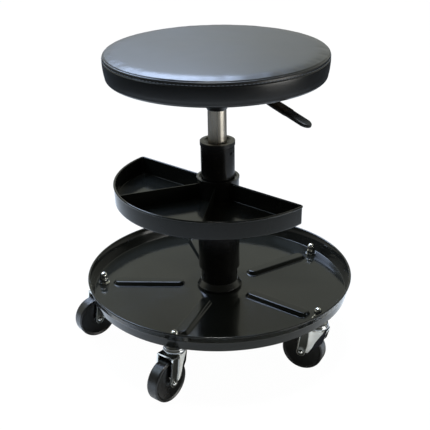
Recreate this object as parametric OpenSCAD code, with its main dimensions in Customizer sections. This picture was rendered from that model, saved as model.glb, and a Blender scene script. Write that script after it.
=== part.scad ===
/* [Seat] */
// Radius of the cushion at its stitched seam
seat_r = 163.5; // [150:0.5:185]
// Height of the cushion from its lowest hem to the flat of its crown
seat_h = 41.7; // [34:0.1:60]
// Radius of the flat middle of the crown
crown_flat_r = 60; // [30:1:90]
// How far the crown rises above the top seam
crown_rise = 4.5; // [2:0.1:8]
// Height of the band between the top seam and the stitched seam
seam_band = 6; // [4:0.5:10]
// How far the side of the cushion is drawn in at its lower edge
side_draw = 3; // [1:0.5:6]
// Rounding of the cushion's lower edge
seat_edge_r = 5; // [3:0.5:7]
// Thickness of the cover where it is folded under the board
cover_t = 1.4; // [1:0.1:2]
// Width of the hem stapled under the board
hem_w = 16; // [12:1:22]
// Thickness of the plywood board
board_t = 12; // [9:1:15]
// How far the board stays inside the stitched seam
board_inset = 12; // [9:1:16]

/* [Seat mechanism] */
// Side of the square mounting plate
plate_w = 160; // [140:2:180]
// Thickness of the mounting plate
plate_t = 3; // [2:0.5:4]
// Distance of each seat bolt from the middle, along each side
seat_bolt_place = 62; // [56:1:64]
// Outer width of the folded housing under the plate
housing_w = 41.6; // [41:0.2:50]
// Outer length of the housing along the lever
housing_l = 78; // [70:1:88]
// Depth of the housing under the plate
housing_h = 28; // [26:0.5:32]
// Thickness of the housing's sheet
housing_t = 2.5; // [2:0.1:3]
// Outer radius of the socket that holds the gas cylinder
socket_r = 17.5; // [17:0.1:18.4]
// Length of the socket
socket_l = 28; // [24:1:34]
// Length of the taper at the socket's lower end
socket_taper_l = 6; // [3:1:8]

/* [Lever] */
// Direction of the lever, in degrees from the right-hand side
lever_az = -50; // [-80:1:-20]
// Distance of the lever's pivot from the column's middle
pivot_r = 22; // [20:0.5:24]
// Depth of the pivot below the mounting plate
pivot_drop = 11; // [10.5:0.1:12]
// Radius of the pivot pin
pivot_pin_r = 3; // [2.5:0.1:3.2]
// Outer radius of the lever's cross tube
pivot_hub_r = 5.4; // [5:0.1:6]
// Distance of the lever's bend from the column's middle
lever_bend_r = 107; // [100:1:115]
// Distance of the lever's tip from the column's middle
lever_tip_r = 189; // [180:1:200]
// Downward slope of the lever past its bend, in degrees
lever_slope = 13; // [10:1:16]
// Width of the lever's steel bar
bar_w = 11; // [9:0.5:12]
// Thickness of the lever's steel bar
bar_t = 3.6; // [3:0.1:4]
// Width of the paddle over the bar
grip_w = 15; // [14:0.5:18]
// Width of the paddle's narrower end
grip_end_w = 13; // [12:0.5:13.5]
// Thickness of the paddle
grip_t = 6.6; // [6:0.1:8]
// Length of the paddle's wide part
grip_step_l = 42; // [36:1:48]
// Radius of the release button
button_r = 4.5; // [4:0.1:5]
// How far the button stands above the gas cylinder
button_rise = 6.8; // [6:0.1:7]

/* [Gas lift] */
// Outer radius of the gas cylinder
cyl_r = 14; // [12.5:0.1:14.5]
// Wall of the gas cylinder
cyl_wall = 1.5; // [1.2:0.1:2]
// Length of the gas cylinder
cyl_l = 251; // [240:1:270]
// Travel of the seat above the height shown
lift_up = 80; // [60:1:90]
// Travel of the seat below the height shown
lift_down = 40; // [30:1:42]
// Radius of the piston rod
rod_r = 5; // [4.5:0.1:6]
// Radius of the rod's neck below its shoulder
rod_neck_r = 4; // [3.6:0.1:4.2]
// Height of the piston
piston_h = 10; // [8:1:14]
// Height of the guide at the cylinder's lower end
rod_guide_h = 14; // [10:1:16]
// Height of the seal over the guide
rod_seal_h = 6; // [5:0.5:8]
// Height of the valve block in the cylinder's top
valve_h = 22; // [18:1:26]
// Height of the rubber bumper
bumper_h = 11.8; // [8:0.2:14]

/* [Column and post] */
// Outer radius of the column tube
column_r = 25.5; // [25:0.1:26]
// Wall of the column tube
column_wall = 2.5; // [2:0.1:3]
// Length of the column tube
column_l = 229; // [225:1:240]
// Thickness of the column's end disc
end_disc_t = 3; // [2.5:0.1:4]
// Outer radius of the guide bush's lip
lip_r = 26.4; // [26.2:0.1:27]
// Height of the guide bush's lip
lip_h = 6; // [5:0.5:8]
// Length of the guide bush inside the column
bush_l = 70; // [60:1:80]
// Radius of the two peened dimples in the column
dimple_r = 2.2; // [1.5:0.1:3]
// Depth of the dimples below the column's top
dimple_drop = 9.6; // [6:0.1:16]
// Wall of the post tube
post_wall = 2.8; // [2.4:0.1:3.2]
// Length of the post tube
post_l = 171; // [165:1:178]
// Radius of the post's foot ring
foot_r = 35; // [34:0.5:40]
// Height of the post's foot ring
foot_h = 12; // [10:0.1:16]
// Height of the foot ring's straight edge
foot_edge_h = 5; // [4:0.1:8]
// Rounding of the foot ring's edge
foot_edge_r = 2.5; // [1:0.1:3.5]
// Height of the ledge inside the foot ring
ledge_h = 6; // [5:0.1:7]
// Radius of the foot screws
foot_screw_r = 2.5; // [2:0.1:2.5]
// Number of foot screws
foot_screws = 4; // [3:1:6]

/* [Middle tray] */
// Radius of the middle tray's rim
mid_r = 160; // [150:0.5:170]
// How far the middle tray's round wall is off the column's middle, along the straight wall
mid_shift = 3; // [1:0.5:6]
// Height of the middle tray's wall
mid_h = 28.6; // [24:0.2:36]
// Outward lean of the middle tray's wall, in degrees
mid_lean = 1; // [0.5:0.1:5]
// Rounding between the middle tray's floor and wall
mid_fillet = 2.5; // [2:0.1:2.8]
// Radius of the middle tray's two corners
mid_corner_r = 5.5; // [5.4:0.1:9]
// Distance of the tray's straight wall from the column's middle
mid_chord = 3; // [1:0.5:8]
// Direction that the straight wall faces, in degrees
mid_az = 48.8; // [0:0.1:360]
// Direction of the first divider, in degrees
divider_1_az = 200; // [185:1:215]
// Direction of the second divider, in degrees
divider_2_az = 261; // [245:1:275]
// Thickness of the dividers
divider_t = 1.2; // [1:0.1:2]
// Height of the dividers
divider_h = 23; // [18:0.5:23.5]
// Wall of the tray's sleeve
sleeve_wall = 3.4; // [2.8:0.1:4]
// Length of the tray's sleeve
sleeve_l = 150; // [130:1:155]
// Depth of the middle tray's floor below the sleeve's top
mid_drop = 32.4; // [30:0.1:45]
// Thickness of the nylon washer that carries the sleeve
sleeve_washer_t = 1.5; // [1:0.1:2]

/* [Lower tray] */
// Radius of the lower tray's rim
tray_r = 206; // [190:1:230]
// Height of the lower tray's wall
tray_h = 27.2; // [20:0.2:36]
// Outward lean of the lower tray's wall, in degrees
tray_lean = 13; // [8:0.1:20]
// Rounding between the lower tray's floor and wall
tray_fillet = 6; // [4:0.5:8]
// Thickness of both trays' sheet
sheet_t = 1.5; // [1.2:0.1:2]
// Radius of the rolled rim on both trays
rim_r = 1.7; // [1.6:0.1:2.5]
// Height of the pressed beads
bead_h = 5.5; // [3:0.1:6.5]
// Half width of a pressed bead at its foot
bead_r = 11; // [9:0.5:13]
// Half width of a pressed bead at its flat top
bead_top_r = 7.5; // [6:0.5:8]

/* [Casters] */
// Direction of the first caster from the middle, in degrees
caster_az = 177.05; // [0:0.05:360]
// Distance of the caster stems inside the lower tray's floor edge
caster_inset = 15.8; // [15.6:0.1:20]
// Radius of the wheels
wheel_r = 31.75; // [28:0.25:34]
// Width of the wheels over their tread
wheel_w = 19; // [16:0.5:20]
// Rounding of the wheels' shoulders
wheel_edge_r = 2.5; // [1.5:0.5:4]
// Width of the wheels over their hubs
wheel_hub_w = 24; // [22:0.5:24.5]
// Radius of the wheels' hubs
wheel_hub_r = 8.5; // [7.5:0.5:10]
// Distance of the axle behind the swivel axis
trail = 20; // [17:0.5:21]
// Height of the fork above its axle
fork_rise = 39.75; // [38.5:0.25:44]
// Outer width of the fork
fork_w = 30.7; // [30.5:0.1:34]
// Thickness of the fork's sheet
fork_t = 2.5; // [2:0.1:2.6]
// Distance from the fork's top face to the lower tray
race_h = 12; // [11.5:0.1:14]
// Outer radius of the upper race cup
race_r = 17; // [16:0.5:18]
// Radius of the swivel balls' circle
ball_circle_r = 11.5; // [11:0.1:12]
// Radius of the swivel balls
ball_r = 2; // [1.8:0.1:2.1]
// Radius of the caster stem
stem_r = 4; // [3.5:0.1:4]
// Radius of the axle bolt
axle_r = 3; // [2.5:0.1:3]
// Outer radius of the steel bush on the axle
axle_bush_r = 4.5; // [4.2:0.1:5]
// Size across the flats of the stem nuts
nut_flats = 13; // [12:0.5:14]
// Height of the hexagon of the stem nuts
nut_hex_h = 7.5; // [6:0.5:9]
// Radius of the dome of the stem nuts
nut_dome_r = 5.9; // [5.2:0.1:6]
// Height of the straight part under the dome
nut_neck_h = 4; // [3:0.5:6]
// Radius of the washers under the stem nuts
nut_washer_r = 8.8; // [8:0.1:9.5]
// Thickness of the washers under the stem nuts
nut_washer_t = 1.6; // [1.2:0.1:2]

/* [Hidden] */
$fn = 96;

// Clearances: over is an overrun for cuts, run_gap a running fit, fix_gap a fixed fit,
// soft_gap what soft and rolling pieces keep from their neighbours
over = 1;
run_gap = 0.08;
fix_gap = 0.05;
soft_gap = 0.3;

// Heights, from the floor that the wheels stand on
fork_z = wheel_r + fork_rise;
tray_z = fork_z + race_h;
floor_z = tray_z + sheet_t;
ledge_z = floor_z + ledge_h;
column_top_z = ledge_z + column_l;
bush_top_z = column_top_z + lip_h;
post_top_z = ledge_z + post_l;
sleeve_ring_z = post_top_z + sleeve_washer_t;
sleeve_ring_t = 3;
sleeve_recess = 3;
sleeve_top_z = sleeve_ring_z + sleeve_ring_t + sleeve_recess;
sleeve_z = sleeve_top_z - sleeve_l;
mid_z = sleeve_top_z - mid_drop;
mid_floor_z = mid_z + sheet_t;

// Radii of the nested tubes
column_in_r = column_r - column_wall;
dimple_depth = 0.8 * column_wall;
post_in_r = column_r + fix_gap;
post_r = post_in_r + post_wall;
sleeve_in_r = post_r + run_gap;
sleeve_r = sleeve_in_r + sleeve_wall;
collar_r = sleeve_r + 0.2 * sleeve_wall;
ledge_in_r = 0.86 * column_r;

// Directions of the two dimples, in degrees
dimple_azs = [-39.4, -17.4];

// Stack on the column's end disc
race_t = 1.2;
race_out_r = 12;
thrust_ball_r = 1.5;
thrust_circle_r = 8;
thrust_balls = 10;
disc_top_z = ledge_z + end_disc_t;
thrust_ball_z = disc_top_z + race_t + thrust_ball_r;
upper_race_z = thrust_ball_z + thrust_ball_r + soft_gap;
shoulder_z = upper_race_z + race_t;
bumper_top_z = shoulder_z + bumper_h;
cyl_z = bumper_top_z + lift_down + soft_gap;
cyl_top_z = cyl_z + cyl_l;
cyl_in_r = cyl_r - cyl_wall;
cyl_lip_h = 2;
cyl_lip_r = cyl_r - 3 * cyl_wall;
cyl_cap_t = 3;
lift_stop = 1;
guide_z = cyl_z + cyl_lip_h;
seal_z = guide_z + rod_guide_h;
piston_z = seal_z + rod_seal_h + lift_up + soft_gap;
rod_top_z = piston_z + piston_h;
clip_t = 1.4;
clip_r = 7;
clip_z = ledge_z - clip_t - fix_gap;
groove_r = 0.78 * rod_neck_r;
rod_tail = 1.2;

// Seat heights
button_room_share = 0.714;
plate_z = cyl_top_z + button_room_share * housing_h;
plate_top_z = plate_z + plate_t;
board_top_z = plate_top_z + board_t;
board_r = seat_r - board_inset;
hem_top_z = plate_top_z - soft_gap;
hem_z = hem_top_z - cover_t;
seat_top_z = hem_z + seat_h;
seam_top_z = seat_top_z - crown_rise;
stitch_z = seam_top_z - seam_band;
seat_low_r = seat_r - side_draw;
hem_in_r = board_r - hem_w;
seam_dip = 0.8;
hem_fold_h = 1.1;
edge_z = hem_z + hem_fold_h + seat_edge_r;
housing_z = plate_z - housing_h;
socket_z = cyl_top_z - socket_l;
pivot_z = plate_z - pivot_drop;
button_top_z = cyl_top_z + button_rise;
bar_tail = 1;
grip_start = 6;

// Bolts of the seat board
bolt_r = 3;
bolt_head_r = 5.5;
bolt_head_h = 4;
tee_r = 9.5;
tee_t = 1.5;
tee_barrel_r = 3.9;
tee_barrel_l = 0.75 * board_t;
bolt_tip_z = board_top_z - tee_t;

// Staples of the cover
staples = 30;
staple_w = 10;
staple_wire = 1.1;
staple_leg = 7;
staple_circle_r = board_r - 0.5 * hem_w;

// Foot of the post
foot_collar_t = 0.8;
foot_head_r = 1.85 * foot_screw_r;
foot_head_h = 2.6;
foot_screw_circle_r = 0.5 * (ledge_in_r + foot_r);
foot_screw_tip = 0.5;

// Lower tray
tray_floor_r = pan_floor_r(tray_r, tray_h, tray_lean, tray_fillet);
caster_circle_r = tray_floor_r - caster_inset;
bead_start_gap = 20;
bead_end_gap = 7;
bead_in_r = foot_r + bead_start_gap;
bead_out_r = caster_circle_r - nut_washer_r - bead_end_gap;

// Middle tray
mid_floor_r = pan_floor_r(mid_r, mid_h, mid_lean, mid_fillet);
lip_core_r = 0.3;
floor_lap = 0.5;
mid_lip = mid_corner_r - (mid_r - mid_floor_r) - mid_fillet - lip_core_r;
corner_v = mid_chord + mid_corner_r;
corner_u = sqrt(pow(mid_r - mid_corner_r, 2) - pow(corner_v, 2));
corner_az = atan2(corner_v, corner_u);
mid_floor_inset = mid_corner_r - floor_lap;

// Casters
casters = 5;
axle_z = wheel_r;
fork_in_w = fork_w - 2 * fork_t;
kingpin_hole_r = stem_r + run_gap;
rivet_r = 1.8 * stem_r;
rivet_h = 3;
rivet_z = fork_z - fork_t - soft_gap - rivet_h;
race_plate_t = 3;
race_skirt_t = 1.5;
race_skirt_gap = 2.5;
race_skirt_z = fork_z + race_skirt_gap;
race_wall_h = race_h - race_plate_t - ball_r - soft_gap;
race_wall_r = race_r - race_skirt_t - 5 * soft_gap;
race_floor_t = 1;
ball_z = tray_z - race_plate_t - ball_r - 0.5 * soft_gap;
ball_seat_r = ball_r + soft_gap;
swivel_balls = 8;
nut_z = floor_z + nut_washer_t;
nut_hex_r = nut_flats / 2 / cos(30);
stem_top_z = nut_z + nut_hex_h + nut_neck_h;
wheel_bore_r = axle_bush_r + run_gap;
wheel_dish = 1.2;
axle_head_r = 5;
axle_head_h = 3.6;
axle_nut_h = 4;
fork_lead = 1;
fork_back = 17;
fork_tip_r = 7;
// Directions in which the five wheels trail, in degrees
caster_headings = [215, 230, 154, 205, 230];

// Radius at which a pan's floor would meet its leaning wall's outer face
function pan_floor_r(rim, h, lean, fillet) = rim - rim_r + sheet_t / 2
    + fillet - fillet * cos(lean) - tan(lean) * (h - rim_r - fillet * (1 - sin(lean)));

// Points of an arc from angle a to angle b about a centre
function arc(centre, r, a, b, steps = 8) =
    [for (i = [0:steps]) centre + r * [cos(a + (b - a) * i / steps), sin(a + (b - a) * i / steps)]];

module ring(r_out, r_in, h) {
    difference() {
        cylinder(r = r_out, h = h);
        translate([0, 0, -over]) cylinder(r = r_in, h = h + 2 * over);
    }
}

module up(z) {
    translate([0, 0, z]) children();
}

module at_lever() {
    rotate([0, 0, lever_az]) children();
}

module at_bolts() {
    for (x = [-1, 1], y = [-1, 1]) translate([x * seat_bolt_place, y * seat_bolt_place, 0]) children();
}

// Half section of the cushion: crown, shoulder, top seam, band, stitched seam, drawn-in side, lower edge
module cushion_section() {
    shoulder_r = 0.45 * crown_rise;
    shoulder = arc([seat_r - 2 * seam_dip - shoulder_r, seam_top_z - seam_dip], shoulder_r, 86, 12, 4);
    crown_w = shoulder[0][0] - crown_flat_r;
    crown_fall = seat_top_z - shoulder[0][1];
    crown = [for (i = [0:5]) [crown_flat_r + crown_w * i / 6, seat_top_z - crown_fall * pow(i / 6, 3)]];
    band_h = seam_band - seam_dip;
    band = [for (i = [0:4]) [seat_r - seam_dip * (1 - sin(22.5 * i)),
        seam_top_z - seam_dip / 2 - band_h * i / 4]];
    side_top_z = stitch_z - seam_dip / 2;
    side_h = side_top_z - edge_z;
    side = [for (i = [0:5]) [seat_r - side_draw * pow(i / 6, 1.4), side_top_z - side_h * i / 6]];
    edge = arc([seat_low_r - seat_edge_r, edge_z], seat_edge_r, 0, -90, 4);
    polygon(concat([[0, seat_top_z]], crown, shoulder, [[seat_r - 3 * seam_dip, seam_top_z]], band,
        [[seat_r - seam_dip, stitch_z]], side, edge, [[board_r, hem_z], [0, hem_z]]));
}

module seat_cushion() {
    color([0.10, 0.11, 0.12]) difference() {
        rotate_extrude() cushion_section();
        up(hem_top_z) cylinder(r = board_r + soft_gap, h = board_t + 2 * soft_gap);
        up(hem_z - over) cylinder(r = hem_in_r, h = cover_t + 2 * over);
    }
}

module seat_board() {
    color([0.72, 0.56, 0.36]) difference() {
        up(plate_top_z) cylinder(r = board_r, h = board_t);
        at_lever() at_bolts() {
            up(plate_top_z - over) cylinder(r = tee_barrel_r + fix_gap, h = board_t + 2 * over);
            up(board_top_z - tee_t) cylinder(r = tee_r + fix_gap, h = tee_t + over);
        }
    }
}

module seat_tee_nuts() {
    color([0.75, 0.75, 0.72]) at_lever() at_bolts() difference() {
        union() {
            up(board_top_z - tee_t) cylinder(r = tee_r, h = tee_t);
            up(board_top_z - tee_barrel_l) cylinder(r = tee_barrel_r, h = tee_barrel_l);
        }
        up(plate_top_z) cylinder(r = bolt_r + fix_gap, h = board_t + over);
    }
}

module cover_staples() {
    color([0.8, 0.8, 0.8]) for (i = [0:staples - 1]) rotate([0, 0, 360 * i / staples])
        translate([staple_circle_r, 0, 0]) {
            translate([0, 0, hem_z - staple_wire / 2])
                cube([staple_wire, staple_w, staple_wire], center = true);
            for (side = [-1, 1])
                translate([0, side * (staple_w - staple_wire) / 2, hem_z - staple_wire + staple_leg / 2])
                    cube([staple_wire, staple_wire, staple_leg], center = true);
        }
}

module seat_bolts() {
    color([0.7, 0.7, 0.7]) at_lever() at_bolts() {
        up(plate_z - bolt_head_h) cylinder(r = bolt_head_r, h = bolt_head_h, $fn = 6);
        up(plate_z - bolt_head_h / 2) cylinder(r = bolt_r, h = bolt_tip_z - plate_z + bolt_head_h / 2);
    }
}

module mount_plate() {
    color([0.08, 0.08, 0.08]) at_lever() difference() {
        up(plate_z + plate_t / 2) cube([plate_w, plate_w, plate_t], center = true);
        at_bolts() up(plate_z - over) cylinder(r = bolt_r + 4 * fix_gap, h = plate_t + 2 * over);
    }
}

module mechanism_housing() {
    color([0.08, 0.08, 0.08]) at_lever() difference() {
        up(housing_z + housing_h / 2) cube([housing_l, housing_w, housing_h], center = true);
        up(housing_z + housing_h / 2 + housing_t)
            cube([housing_l + over, housing_w - 2 * housing_t, housing_h], center = true);
        up(housing_z - over) cylinder(r = socket_r + fix_gap, h = housing_t + 2 * over);
        translate([pivot_r, 0, pivot_z]) rotate([90, 0, 0])
            cylinder(r = pivot_pin_r + fix_gap, h = housing_w + 2 * over, center = true);
    }
}

module cylinder_socket() {
    color([0.08, 0.08, 0.08]) difference() {
        union() {
            up(socket_z) cylinder(r1 = cyl_r + 0.6 * cyl_wall, r2 = socket_r, h = socket_taper_l);
            up(socket_z + socket_taper_l) cylinder(r = socket_r, h = socket_l - socket_taper_l);
        }
        up(socket_z - over) cylinder(r = cyl_r + fix_gap, h = socket_l + 2 * over);
    }
}

module lever_pin() {
    color([0.75, 0.75, 0.75]) at_lever() translate([pivot_r, 0, pivot_z]) rotate([90, 0, 0]) {
        cylinder(r = pivot_pin_r, h = housing_w + pivot_pin_r, center = true);
        for (side = [-1, 1]) translate([0, 0, side * (housing_w / 2 + pivot_pin_r / 2)])
            cylinder(r = 1.5 * pivot_pin_r, h = pivot_pin_r, center = true);
    }
}

// Side of the steel bar: level over the button, then sloping down into the paddle
module bar_side() {
    slope_l = lever_tip_r - lever_bend_r - grip_end_w;
    polygon([[-button_r - bar_tail, -bar_t / 2], [lever_bend_r, -bar_t / 2],
        [lever_bend_r + slope_l * cos(lever_slope), -bar_t / 2 - slope_l * sin(lever_slope)],
        [lever_bend_r + slope_l * cos(lever_slope), bar_t / 2 - slope_l * sin(lever_slope)],
        [lever_bend_r, bar_t / 2], [-button_r - bar_tail, bar_t / 2]]);
}

module height_lever() {
    hub_l = housing_w - 2 * housing_t - 2 * soft_gap;
    color([0.12, 0.12, 0.12]) at_lever() difference() {
        union() {
            translate([0, bar_w / 2, pivot_z]) rotate([90, 0, 0]) linear_extrude(bar_w) bar_side();
            translate([pivot_r, 0, pivot_z]) rotate([90, 0, 0])
                cylinder(r = pivot_hub_r, h = hub_l, center = true);
        }
        translate([pivot_r, 0, pivot_z]) rotate([90, 0, 0])
            cylinder(r = pivot_pin_r + run_gap, h = hub_l + 2 * over, center = true);
    }
}

module lever_grip() {
    grip_l = (lever_tip_r - lever_bend_r) / cos(lever_slope);
    color([0.06, 0.06, 0.06]) at_lever() difference() {
        translate([lever_bend_r, 0, pivot_z]) rotate([0, lever_slope, 0]) translate([0, 0, -grip_t / 2]) {
            translate([grip_start, -grip_w / 2, 0]) cube([grip_step_l - grip_start, grip_w, grip_t]);
            translate([grip_step_l - over, -grip_end_w / 2, 0])
                cube([grip_l - grip_step_l - grip_end_w / 2 + over, grip_end_w, grip_t]);
            translate([grip_l - grip_end_w / 2, 0, 0]) cylinder(r = grip_end_w / 2, h = grip_t);
        }
        translate([0, bar_w / 2 + fix_gap, pivot_z]) rotate([90, 0, 0])
            linear_extrude(bar_w + 2 * fix_gap) bar_side();
    }
}

module release_button() {
    // A rod with a domed top whose radius is the rod's diameter
    dome = 2 * button_r;
    foot = cyl_top_z - valve_h + lift_stop;
    color([0.7, 0.7, 0.7]) rotate_extrude() polygon(concat([[0, foot], [button_r, foot]],
        arc([0, button_top_z - dome], dome, 90 - asin(button_r / dome), 90, 6)));
}

module gas_cylinder() {
    color([0.80, 0.80, 0.80]) difference() {
        up(cyl_z) cylinder(r = cyl_r, h = cyl_l);
        up(guide_z) cylinder(r = cyl_in_r, h = cyl_l - cyl_lip_h - cyl_cap_t);
        up(cyl_z - over) cylinder(r = cyl_lip_r, h = cyl_lip_h + 2 * over);
        up(cyl_top_z - cyl_cap_t - over) cylinder(r = button_r + run_gap, h = cyl_cap_t + 2 * over);
    }
}

module valve_block() {
    color([0.6, 0.6, 0.55]) up(cyl_top_z - cyl_cap_t - valve_h)
        ring(cyl_in_r - fix_gap, button_r + run_gap, valve_h);
}

module rod_guide() {
    color([0.35, 0.35, 0.35]) up(guide_z) ring(cyl_in_r - fix_gap, rod_r + run_gap, rod_guide_h);
}

module rod_seal() {
    color([0.05, 0.05, 0.05]) up(seal_z) ring(cyl_in_r - fix_gap, rod_r + run_gap, rod_seal_h);
}

module piston_rod() {
    color([0.8, 0.8, 0.8]) {
        up(shoulder_z) cylinder(r = rod_r, h = rod_top_z - shoulder_z);
        difference() {
            up(clip_z - rod_tail) cylinder(r = rod_neck_r, h = shoulder_z - clip_z + rod_tail + over);
            up(clip_z) ring(rod_neck_r + over, groove_r, clip_t);
        }
    }
}

module rod_piston() {
    color([0.5, 0.5, 0.5]) up(piston_z) ring(cyl_in_r - run_gap, rod_r + fix_gap, piston_h);
}

module upper_race() {
    color([0.7, 0.7, 0.7]) up(upper_race_z) ring(race_out_r, rod_neck_r + fix_gap, race_t);
}

module rod_bumper() {
    color([0.05, 0.05, 0.05]) up(shoulder_z) ring(race_out_r, rod_r + fix_gap, bumper_h);
}

module rod_clip() {
    color([0.3, 0.3, 0.3]) up(clip_z + fix_gap / 2) ring(clip_r, groove_r + fix_gap, clip_t - fix_gap);
}

module column_tube() {
    // Two peened dimples hold the bush
    color([0.06, 0.06, 0.06]) difference() {
        up(ledge_z) ring(column_r, column_in_r, column_l);
        for (turn = dimple_azs) rotate([0, 0, turn]) translate([column_r, 0, column_top_z - dimple_drop])
            rotate([0, 90, 0]) cylinder(r = dimple_r, h = dimple_depth, center = true);
    }
}

module column_end_disc() {
    color([0.3, 0.3, 0.3]) up(ledge_z) ring(column_in_r - fix_gap, rod_neck_r + run_gap, end_disc_t);
}

module guide_bush() {
    funnel_r = cyl_r + 0.55 * (lip_r - cyl_r);
    funnel_h = 0.7 * lip_h;
    color([0.10, 0.10, 0.10]) difference() {
        union() {
            up(column_top_z - bush_l) cylinder(r = column_in_r - fix_gap, h = bush_l + over);
            up(column_top_z) cylinder(r = lip_r, h = lip_h);
        }
        up(column_top_z - bush_l - over) cylinder(r = cyl_r + run_gap, h = bush_l + lip_h + 2 * over);
        up(bush_top_z - funnel_h) cylinder(r1 = cyl_r + run_gap, r2 = funnel_r, h = funnel_h + fix_gap);
    }
}

module lower_race() {
    color([0.7, 0.7, 0.7]) up(disc_top_z) ring(race_out_r, rod_neck_r + 3 * run_gap, race_t);
}

module thrust_balls() {
    color([0.8, 0.8, 0.8]) for (i = [0:thrust_balls - 1]) rotate([0, 0, 360 * i / thrust_balls])
        translate([thrust_circle_r, 0, thrust_ball_z]) sphere(r = thrust_ball_r);
}

module post_tube() {
    color([0.06, 0.06, 0.06]) up(ledge_z) ring(post_r, post_in_r, post_l);
}

module post_foot_ring() {
    color([0.07, 0.07, 0.07]) difference() {
        up(floor_z) rotate_extrude() polygon(concat([[0, 0], [foot_r, 0]],
            arc([foot_r - foot_edge_r, foot_edge_h - foot_edge_r], foot_edge_r, 0, 45, 4),
            [[post_r + foot_collar_t, foot_h], [0, foot_h]]));
        up(ledge_z) cylinder(r = post_r + fix_gap, h = foot_h);
        up(floor_z - over) cylinder(r = ledge_in_r, h = foot_h);
        at_foot_screws() up(floor_z - over)
            cylinder(r = foot_screw_r + fix_gap, h = ledge_h - foot_screw_tip + over);
    }
}

module at_foot_screws() {
    for (i = [0:foot_screws - 1]) rotate([0, 0, 360 * (i + 0.5) / foot_screws])
        translate([foot_screw_circle_r, 0, 0]) children();
}

module foot_screws() {
    color([0.7, 0.7, 0.7]) at_foot_screws() {
        up(tray_z - foot_head_h) cylinder(r = foot_head_r, h = foot_head_h);
        up(tray_z - over) cylinder(r = foot_screw_r, h = sheet_t + ledge_h - 2 * foot_screw_tip + over);
    }
}

module sleeve_washer() {
    color([0.85, 0.85, 0.8]) up(post_top_z) ring(post_r - fix_gap, post_in_r, sleeve_washer_t);
}

// Section of a pan's wall, from a short lip of its floor to its rolled rim, as seen at radius outer
module pan_wall(outer, h, lean, fillet, lip) {
    foot = pan_floor_r(outer, h, lean, fillet);
    wall_h = h - rim_r;
    outer_top = outer - rim_r + sheet_t / 2;
    inner_top = outer_top - sheet_t / cos(lean);
    polygon(concat([[foot - fillet - lip, 0]], arc([foot - fillet, fillet], fillet, -90, -lean, 6),
        [[outer_top, wall_h], [inner_top, wall_h]],
        arc([foot - fillet, fillet], fillet - sheet_t, -lean, -90, 6), [[foot - fillet - lip, sheet_t]]));
    translate([outer - rim_r, wall_h]) circle(r = rim_r, $fn = 32);
}

module mid_section(outer) {
    pan_wall(outer, mid_h, mid_lean, mid_fillet, mid_lip);
}

// The D of the middle tray, in a frame whose Y axis points away from the straight wall
module mid_wall() {
    for (side = [0, 1]) mirror([side, 0, 0]) {
        translate([corner_u, -corner_v, 0]) rotate([0, 0, -corner_az])
            rotate_extrude(angle = 90 + corner_az) mid_section(mid_corner_r);
    }
    rotate([0, 0, 180 + corner_az]) rotate_extrude(angle = 180 - 2 * corner_az) mid_section(mid_r);
    translate([-corner_u, -corner_v, 0]) rotate([90, 0, 90]) linear_extrude(2 * corner_u)
        mid_section(mid_corner_r);
}

module mid_tray_pan() {
    color([0.05, 0.05, 0.05]) up(mid_z) rotate([0, 0, mid_az - 90]) difference() {
        translate([mid_shift, 0, 0]) {
            mid_wall();
            intersection() {
                cylinder(r = mid_r - mid_floor_inset, h = sheet_t);
                translate([-mid_r, -mid_chord - mid_floor_inset - mid_r, -over])
                    cube([2 * mid_r, mid_r, sheet_t + 2 * over]);
            }
        }
        up(-over) cylinder(r = sleeve_r + fix_gap, h = mid_h + 2 * over);
    }
}

// Reaches from the sleeve to the round wall, whose centre is off the column's middle
module divider(turn) {
    across = mid_shift * sin(turn - mid_az + 90);
    foot = mid_shift * cos(turn - mid_az + 90)
        + sqrt(pow(mid_floor_r - sheet_t - soft_gap, 2) - pow(across, 2));
    inner = sleeve_r + fix_gap;
    color([0.05, 0.05, 0.05]) rotate([0, 0, turn]) translate([0, divider_t / 2, mid_floor_z])
        rotate([90, 0, 0]) linear_extrude(divider_t) polygon([[inner, 0], [foot - mid_fillet + sheet_t, 0],
            [foot, mid_fillet - sheet_t], [foot + (divider_h - mid_fillet) * tan(mid_lean), divider_h],
            [inner, divider_h]]);
}

module mid_tray_divider_1() {
    divider(divider_1_az);
}

module mid_tray_divider_2() {
    divider(divider_2_az);
}

module mid_tray_sleeve() {
    color([0.06, 0.06, 0.06]) difference() {
        union() {
            up(sleeve_z) cylinder(r = sleeve_r, h = sleeve_l);
            up(sleeve_top_z - sleeve_recess) cylinder(r = collar_r, h = sleeve_recess);
        }
        up(sleeve_z - over) cylinder(r = sleeve_in_r, h = sleeve_ring_z - sleeve_z + over);
        up(sleeve_ring_z - over) cylinder(r = column_r + soft_gap, h = sleeve_ring_t + 2 * over);
        up(sleeve_ring_z + sleeve_ring_t) cylinder(r = sleeve_in_r, h = sleeve_recess + over);
    }
}

// A pressed bead along X: a flat top with sloping sides and rounded ends
module bead(foot, top, h) {
    len = bead_out_r - bead_in_r - 2 * bead_r;
    translate([bead_in_r + bead_r, 0, 0]) {
        for (x = [0, len]) translate([x, 0, 0]) cylinder(r1 = foot, r2 = top, h = h);
        rotate([90, 0, 90]) linear_extrude(len) polygon([[-foot, 0], [foot, 0], [top, h], [-top, h]]);
    }
}

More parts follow.
